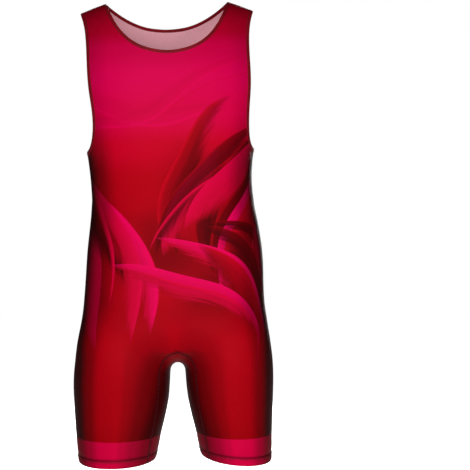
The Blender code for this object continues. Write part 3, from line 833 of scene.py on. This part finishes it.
def bindingMaterial(name):
    # folded strip of the same jersey, dyed through: matt, with a fine dark grain and faint patches
    made, tree = newMaterial(name)
    place = addNode(tree, "TexCoord", out="Object")
    grain = addNode(tree, "TexNoise", {"Vector": place, "Scale": 700.0, "Detail": 2.0})
    patch = addNode(tree, "TexNoise", {"Vector": place, "Scale": 30.0, "Detail": 2.0})
    colour = addNode(tree, "ValToRGB", {"Fac": patch}, stops=[(0.3, "760412"), (0.7, "860618")])
    dark = addNode(tree, "Math", {0: grain, 1: 0.4}, operation="MULTIPLY")
    colour = addNode(tree, "Mix", {"Factor": dark, 6: colour, 7: (*linear("4E040E"), 1)}, 2,
                     data_type="RGBA")
    bump = addNode(tree, "Bump", {"Height": grain, "Strength": 0.4, "Distance": 0.0003})
    shader = addNode(tree, "BsdfPrincipled", {"Base Color": colour, "Roughness": 0.6,
                                              "Specular IOR Level": 0.12, "Normal": bump})
    addNode(tree, "OutputMaterial", {"Surface": shader})
    return made


bindingLook = bindingMaterial("foldedJerseyBinding")
for node, piece in bindings.items():
    strip = copyOf(node)
    joinQuads(strip)
    strip.name = piece["name"]
    applyModifier(strip, "SUBSURF", levels=garment["levels"], render_levels=garment["levels"])
    strip.data.materials.append(bindingLook)
    strip.data.polygons.foreach_set("use_smooth", [True] * len(strip.data.polygons))
    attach(strip, "root")
    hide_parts(node)
    made[node] = strip
    print("bound", piece["name"], "area", round(sum(face.area for face in strip.data.polygons), 5))


# stitches, each one a short length of thread that dips into the cloth at both ends

thread = {
    "pitch": 0.0040, "length": 0.0031, "radius": 0.00034, "lift": 0.00012,
    "apart": 0.0032,          # between a seam's two rows
    "crossRadius": 0.8,       # the cross thread's radius, as a share of the rows'
    "aboveEdge": 0.002,       # a binding's row is looked for from this far above the cloth's edge
    "intoBinding": 0.0022,    # and lies about this far from it
}


def threadMaterial(name):
    # textured polyester sewing thread: soft gloss, a fine twist, a shade deeper than the cloth
    made, tree = newMaterial(name)
    place = addNode(tree, "TexCoord", out="Object")
    twist = addNode(tree, "TexNoise", {"Vector": place, "Scale": 1500.0})
    colour = addNode(tree, "ValToRGB", {"Fac": twist}, stops=[(0.3, "40020A"), (0.7, "5A0510")])
    bump = addNode(tree, "Bump", {"Height": twist, "Strength": 0.5, "Distance": 0.0002})
    shader = addNode(tree, "BsdfPrincipled", {"Base Color": colour, "Roughness": 0.45,
                                              "Specular IOR Level": 0.2, "Normal": bump})
    addNode(tree, "OutputMaterial", {"Surface": shader})
    return made


threadLook = threadMaterial("twistedPolyesterThread")


def alongPath(path, closed, pitch):
    # evenly spaced points on a path
    path = np.array(path)
    if closed:
        path = np.vstack([path, path[:1]])
    length = np.concatenate([[0], np.cumsum(np.linalg.norm(np.diff(path, axis=0), axis=1))])
    count = max(2, round(length[-1] / pitch))
    stops = np.linspace(0, length[-1], count + 1)[:count if closed else count + 1]
    return np.column_stack([np.interp(stops, length, path[:, k]) for k in range(3)])


def laidOn(surface, path, sideways, closed):
    # the path moved sideways on the cloth, with the cloth's normal at each point
    spots, facing = [], []
    for k, point in enumerate(path):
        after = path[(k + 1) % len(path)] if closed or k + 1 < len(path) else point
        before = path[k - 1] if closed or k else point
        point = Vector(point)
        normal = surface.find_nearest(point)[1]
        side = (Vector(after) - Vector(before)).cross(normal).normalized()
        spot, normal = surface.find_nearest(point + side * sideways)[:2]
        spots.append(spot)
        facing.append(normal)
    return spots, facing


def addStitch(verts, faces, start, end, normal, radius):
    along = end - start
    side = along.cross(normal).normalized()
    first = len(verts)
    for t, swell, rise in ((0.0, 0.35, -0.8), (0.25, 1.0, 0.5), (0.75, 1.0, 0.5),
                           (1.0, 0.35, -0.8)):
        middle = start + along * t + normal * (radius * rise + thread["lift"])
        for turn in range(4):
            angle = math.pi / 4 + turn * math.pi / 2
            spoke = side * math.cos(angle) + normal * math.sin(angle)
            verts.append(middle + spoke * radius * swell * 1.3)
    for k in range(3):
        for turn in range(4):
            a, b = first + 4 * k + turn, first + 4 * k + (turn + 1) % 4
            faces.append((a, b, b + 4, a + 4))
    faces.append((first + 3, first + 2, first + 1, first))
    faces.append((first + 12, first + 13, first + 14, first + 15))


def sewRows(name, surface, paths, rows, zigzag=False):
    verts, faces = [], []
    for path, closed in paths:
        spots = alongPath(path, closed, thread["pitch"])
        laid = [laidOn(surface, spots, sideways, closed) for sideways in rows]
        count = len(spots) if closed else len(spots) - 1
        for k in range(count):
            n = (k + 1) % len(spots)
            for line, facing in laid:
                step = (line[n] - line[k]) * (thread["length"] / thread["pitch"])
                addStitch(verts, faces, line[k], line[k] + step, facing[k], thread["radius"])
            if zigzag:
                a, b = (laid[0], laid[1]) if k % 2 else (laid[1], laid[0])
                cross = thread["radius"] * thread["crossRadius"]
                addStitch(verts, faces, a[0][k], b[0][n], a[1][k], cross)
    mesh = bpy.data.meshes.new(name)
    mesh.from_pydata([tuple(v) for v in verts], [], faces)
    thing = bpy.data.objects.new(name, mesh)
    bpy.context.scene.collection.objects.link(thing)
    makeActive(thing)
    bpy.ops.object.mode_set(mode="EDIT")
    bpy.ops.mesh.select_all(action="SELECT")
    bpy.ops.mesh.normals_make_consistent(inside=False)
    bpy.ops.object.mode_set(mode="OBJECT")
    bpy.ops.object.shade_smooth()
    mesh.materials.append(threadLook)
    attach(thing, "root")
    print("sewn", name, "stitches", len(faces) // 14)
    return thing


cloth = surfaceOf(sewnPoints, body.data)
points = sewnPoints
half = thread["apart"] / 2
sewnOn = {node: [] for node in list(pieces) + list(bindings)}
for node, kind in (("inner_leg_gusset", "gusset"), ("lower_back", "side"), ("upper_back", "chest"),
                   ("upper_back", "shoulder")):
    paths = [([points[v] for v in chain], False) for chain in seams[kind]]
    sewnOn[node].append(sewRows(kind + "Stitches", cloth, paths, (-half, half), zigzag=True))

for loop in hemLoops:
    edge = [points[v] for v in loop[:-1]]
    up = -1 if laidOn(cloth, edge, hemStitch["rise"], True)[0][0].z < edge[0][2] + 0.005 else 1
    rows = []
    for away in (-hemStitch["apart"] / 2, hemStitch["apart"] / 2):
        row = laidOn(cloth, edge, up * (hemStitch["rise"] + away), True)[0]
        rows.append(([tuple(spot) for spot in row], True))
    side = "left" if edge[0][0] < garment["betweenLegs"] else "right"
    sewnOn[side + "_leg_band"].append(sewRows(side + "HemStitches", cloth, rows, (0.0,)))

for node in bindings:
    mesh = made[node].data
    strip = surfaceOf(asArray(mesh, "co"), mesh)
    low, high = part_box(node)
    middle = (low + high) / 2
    rim = min(boundRims, key=lambda rim: (Vector(points[rim].mean(axis=0)) - middle).length)
    path = []
    for v in rim[:-1]:
        lifted = Vector(points[v] + normals[v] * thread["aboveEdge"])
        away = (strip.find_nearest(lifted)[0] - Vector(points[v])).normalized()
        path.append(strip.find_nearest(lifted + away * thread["intoBinding"])[0])
    name = bindings[node]["name"].replace("Cloth", "Stitches")
    sewnOn[node].append(sewRows(name, strip, [(path, True)], (0.0,)))

bpy.data.objects.remove(body)
low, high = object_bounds()
